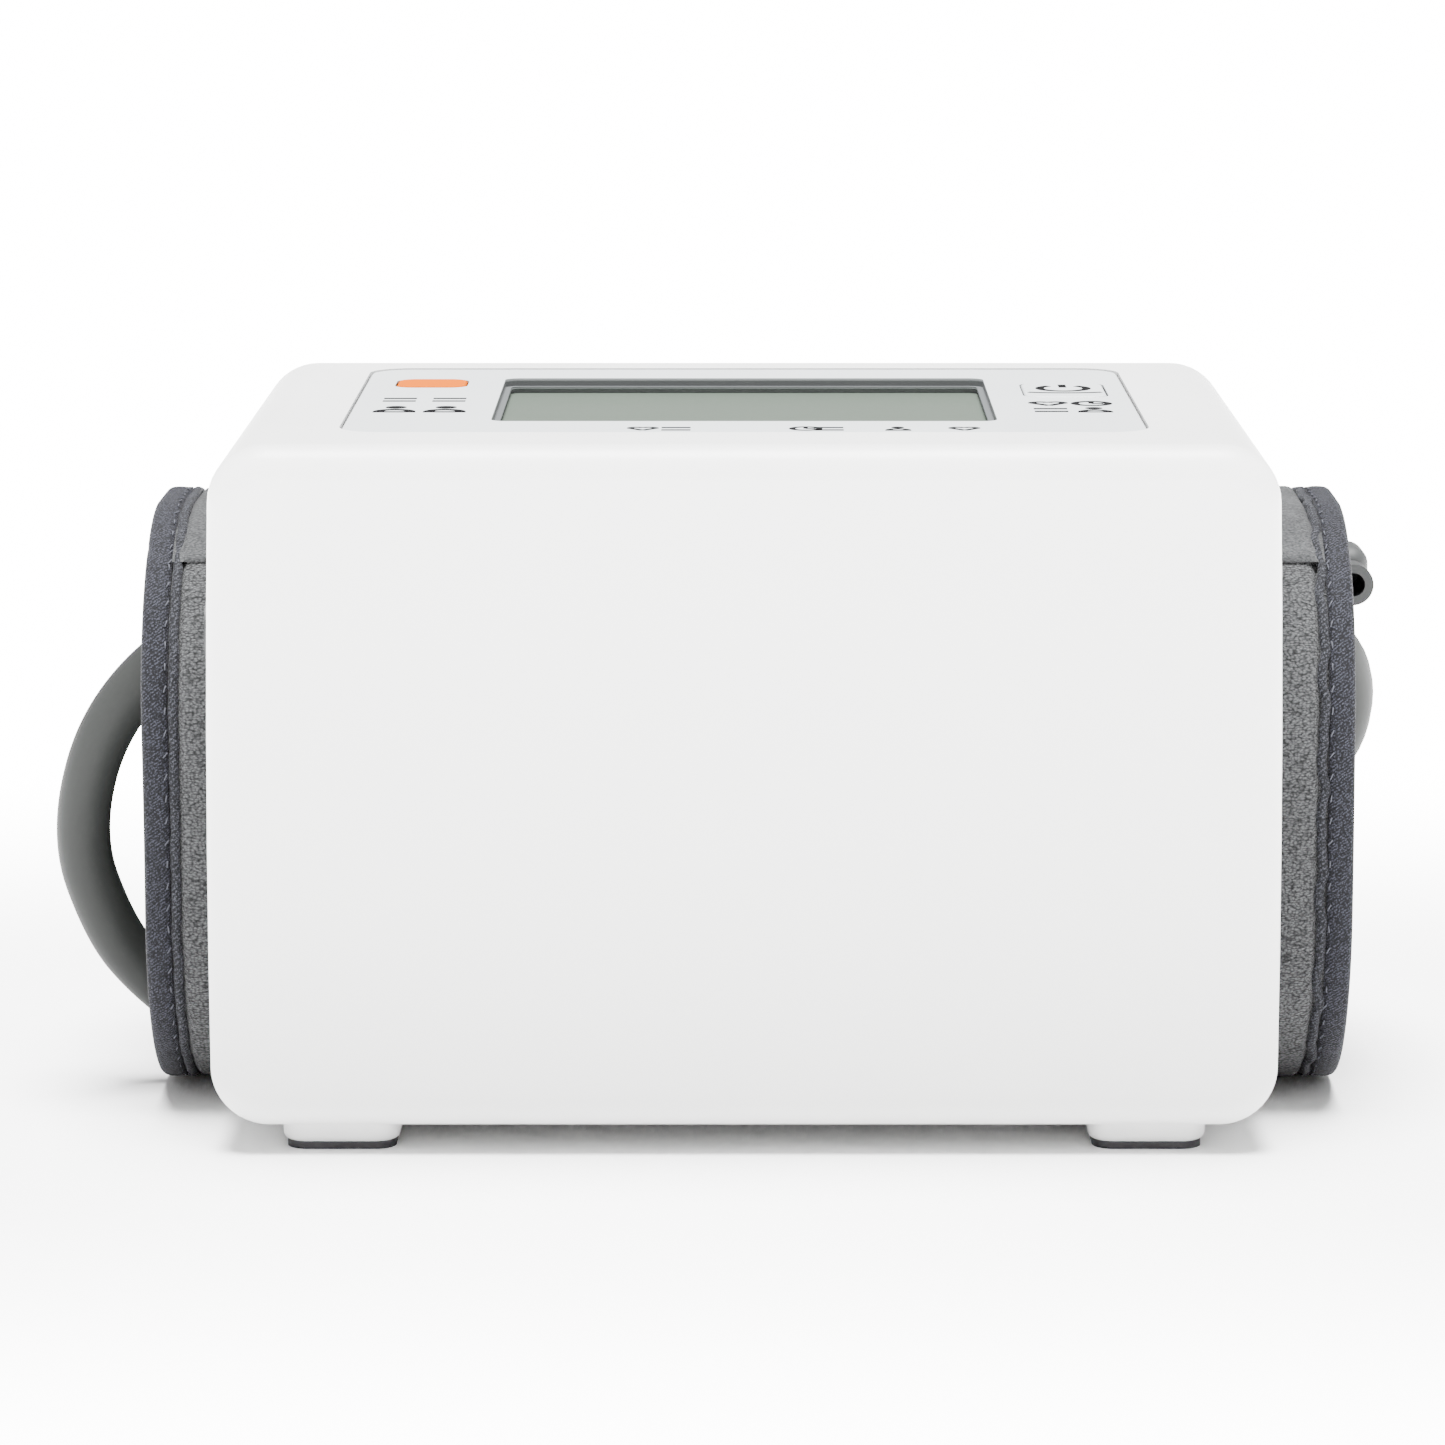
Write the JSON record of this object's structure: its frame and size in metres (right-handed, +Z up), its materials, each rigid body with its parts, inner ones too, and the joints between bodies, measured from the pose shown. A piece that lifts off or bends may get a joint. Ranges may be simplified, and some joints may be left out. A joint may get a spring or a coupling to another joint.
{
  "type": "upper arm blood pressure monitor",
  "caption": "Box-shaped upper arm blood pressure monitor with a top display and keys, and its rolled cuff and air hose stowed across the case.",
  "frame": {"origin": "under the middle of the case, on the surface that it stands on", "axes": "+X along the rolled cuff to the user's right, -Y is the front, +Z up"},
  "size_m": [0.1657, 0.0944, 0.0853],
  "materials": {
    "case_white": "satin",
    "chassis_white": "matt",
    "panel_grey": "satin",
    "orange_key": "satin",
    "foot_rubber": "matt",
    "bezel_dark": "matt",
    "window_clear": "polished",
    "lcd_green_grey": "satin",
    "backlight_white": "satin",
    "strip_pink": "matt",
    "board_green": "satin",
    "chip_black": "matt",
    "metal_plate": "satin",
    "screw_steel": "satin",
    "brass_eccentric": "satin",
    "pump_black": "matt",
    "silicone_clear": "satin",
    "nylon_white": "matt",
    "cell_jacket": "satin",
    "cover_fabric": "looped pile",
    "bladder_film": "satin",
    "lining_fabric": "woven",
    "binding_fabric": "woven tape",
    "hose_rubber": "satin",
    "plug_grey": "satin"
  },
  "bodies": {
    "case": {"air_jack": "pump_black", "backlight": "backlight_white", "battery_contact_left": "metal_plate", "battery_contact_right": "metal_plate", "battery_spring_1": "screw_steel", "battery_spring_2": "screw_steel", "battery_tray": "chassis_white", "buzzer": "chip_black", "case_screw_front_left": "screw_steel", "case_screw_front_right": "screw_steel", "case_screw_rear_left": "screw_steel", "case_screw_rear_right": "screw_steel", "cell_1": "cell_jacket", "cell_2": "cell_jacket", "cell_3": "cell_jacket", "cell_4": "cell_jacket", "chassis": "chassis_white", "circuit_board": "board_green", "connector_strip_front": "strip_pink", "connector_strip_rear": "strip_pink", "control_panel": "panel_grey", "crystal": "metal_plate", "foot_pad_front_left": "foot_rubber", "foot_pad_front_right": "foot_rubber", "foot_pad_rear_left": "foot_rubber", "foot_pad_rear_right": "foot_rubber", "lcd_bezel": "bezel_dark", "lcd_glass": "lcd_green_grey", "lcd_lens": "window_clear", "manifold": "nylon_white", "memory_chip": "chip_black", "memory_switch": "metal_plate", "outer_shell": "case_white", "pressure_sensor": "chip_black", "processor": "chip_black", "pump_head": "pump_black", "pump_motor": "metal_plate", "start_switch": "metal_plate", "tube_jack": "silicone_clear", "tube_pump": "silicone_clear", "tube_sensor": "silicone_clear", "tube_valve": "silicone_clear", "valve_body": "metal_plate", "valve_cap": "pump_black"},
    "memory_key": {"memory_button": "orange_key"},
    "start_key": {"start_button": "panel_grey"},
    "battery_cover": {"battery_door": "case_white"},
    "pump_rotor": {"motor_shaft": "screw_steel", "pump_eccentric": "brass_eccentric"},
    "valve_core": {"valve_plunger": "screw_steel"},
    "cuff": {"cuff_binding_left": "binding_fabric", "cuff_binding_right": "binding_fabric", "cuff_bladder": "bladder_film", "cuff_cover": "cover_fabric", "cuff_lining": "lining_fabric", "cuff_port": "plug_grey", "hose": "hose_rubber", "hose_plug": "plug_grey"}
  },
  "joints": [
    {"name": "cuff_slide", "type": "slide", "parent": "case", "child": "cuff", "axis": [1, 0, 0], "range_m": [0, 0.16]},
    {"name": "memory_press", "type": "slide", "parent": "case", "child": "memory_key", "axis": [0, 0, -1], "range_m": [0, 0.0005], "stiffness_N_per_m": 1500, "springref_m": -0.0002},
    {"name": "start_press", "type": "slide", "parent": "case", "child": "start_key", "axis": [0, 0, -1], "range_m": [0, 0.0005], "stiffness_N_per_m": 1500, "springref_m": -0.0002},
    {"name": "battery_hinge", "type": "hinge", "parent": "case", "child": "battery_cover", "pos_m": [0, 0.04615, 0.01215], "axis": [-1, 0, 0], "range_deg": [0, 75]},
    {"name": "pump_spin", "type": "hinge", "parent": "case", "child": "pump_rotor", "pos_m": [0, -0.03862, 0.025], "axis": [1, 0, 0], "continuous": true},
    {"name": "valve_lift", "type": "slide", "parent": "case", "child": "valve_core", "axis": [0, 0, 1], "range_m": [0, 0.001], "stiffness_N_per_m": 300, "springref_m": -0.0003}
  ]
}
